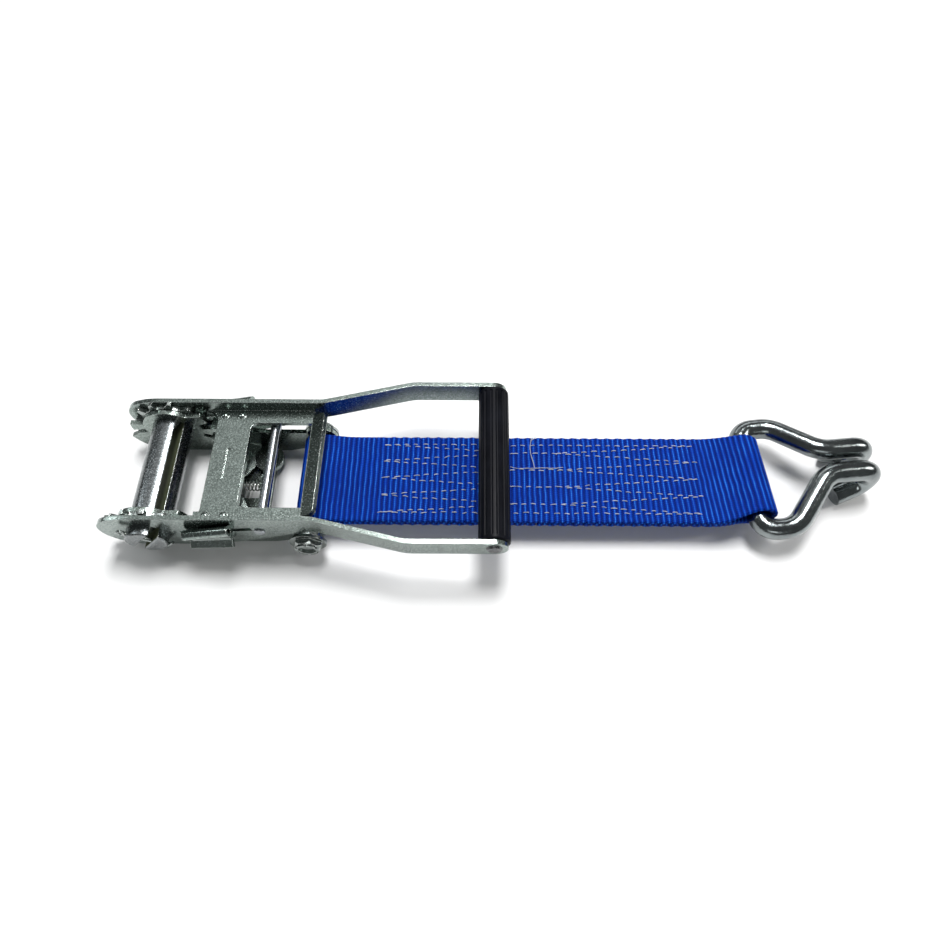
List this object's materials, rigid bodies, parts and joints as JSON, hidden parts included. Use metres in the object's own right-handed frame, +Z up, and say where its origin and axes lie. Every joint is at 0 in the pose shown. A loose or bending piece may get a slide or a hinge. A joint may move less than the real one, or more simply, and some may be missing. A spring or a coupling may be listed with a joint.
{
  "type": "ratchet tie down",
  "caption": "Ratchet tie down, fixed end: folding ratchet buckle with slotted spindle and spring pawls, short sewn webbing loop and double claw wire hook.",
  "frame": {"origin": "centre of the bounding box's base, on the surface it lies on", "axes": "+X from the spindle towards the hook, +Z up, Y across the webbing along the spindle"},
  "size_m": [0.4032, 0.0932, 0.0417],
  "materials": {
    "zinc_sheet": "zinc plated, satin, faint grey-green tint",
    "zinc_plate": "zinc plated, satin",
    "zinc_fastener": "zinc plated, bright",
    "dark_zinc": "zinc plated, dull grey",
    "spring_steel": "bright spring wire",
    "plated_wire": "polished zinc plating",
    "black_plastic": "fluted moulded plastic",
    "blue_webbing": "woven polyester webbing, sewn with pale thread"
  },
  "bodies": {
    "frame": {"frame": "zinc_sheet", "strap_bolt": "zinc_fastener", "bolt_spacer": "zinc_fastener", "lock_nut": "zinc_fastener", "frame_pawl_spring": "spring_steel"},
    "spindle": {"half_shaft_upper": "dark_zinc", "half_shaft_lower": "dark_zinc", "ratchet_wheel_far": "zinc_plate", "ratchet_wheel_near": "zinc_plate", "split_pin_far": "zinc_fastener", "split_pin_near": "zinc_fastener"},
    "handle": {"handle": "zinc_sheet", "grip_sleeve": "black_plastic", "grip_rod": "zinc_fastener", "cross_bar": "dark_zinc", "drive_spring_far": "spring_steel", "drive_spring_near": "spring_steel"},
    "drive_pawl": {"drive_pawl": "zinc_plate"},
    "frame_pawl": {"frame_pawl": "zinc_plate"},
    "strap": {"webbing": "blue_webbing"},
    "hook": {"hook": "plated_wire"}
  },
  "joints": [
    {"name": "handle_swing", "type": "hinge", "parent": "frame", "child": "handle", "pos_m": [-0.17582, 0, 0.0225], "axis": [0, -1, 0], "range_deg": [0, 180]},
    {"name": "spindle_spin", "type": "hinge", "parent": "frame", "child": "spindle", "pos_m": [-0.17582, 0, 0.0225], "axis": [0, 1, 0], "continuous": true},
    {"name": "drive_pawl_slide", "type": "slide", "parent": "handle", "child": "drive_pawl", "axis": [0.9925, 0, 0.1219], "range_m": [-0.0062, 0]},
    {"name": "frame_pawl_slide", "type": "slide", "parent": "frame", "child": "frame_pawl", "axis": [0.9205, 0, -0.3907], "range_m": [-0.0042, 0]},
    {"name": "strap_swing", "type": "hinge", "parent": "frame", "child": "strap", "pos_m": [-0.09752, 0, 0.0141], "axis": [0, -1, 0], "range_deg": [-75, 3]},
    {"name": "hook_swing", "type": "hinge", "parent": "strap", "child": "hook", "pos_m": [0.13318, 0.0022, 0.015], "axis": [0.061, -0.9981, 0], "range_deg": [-110, 110]}
  ]
}
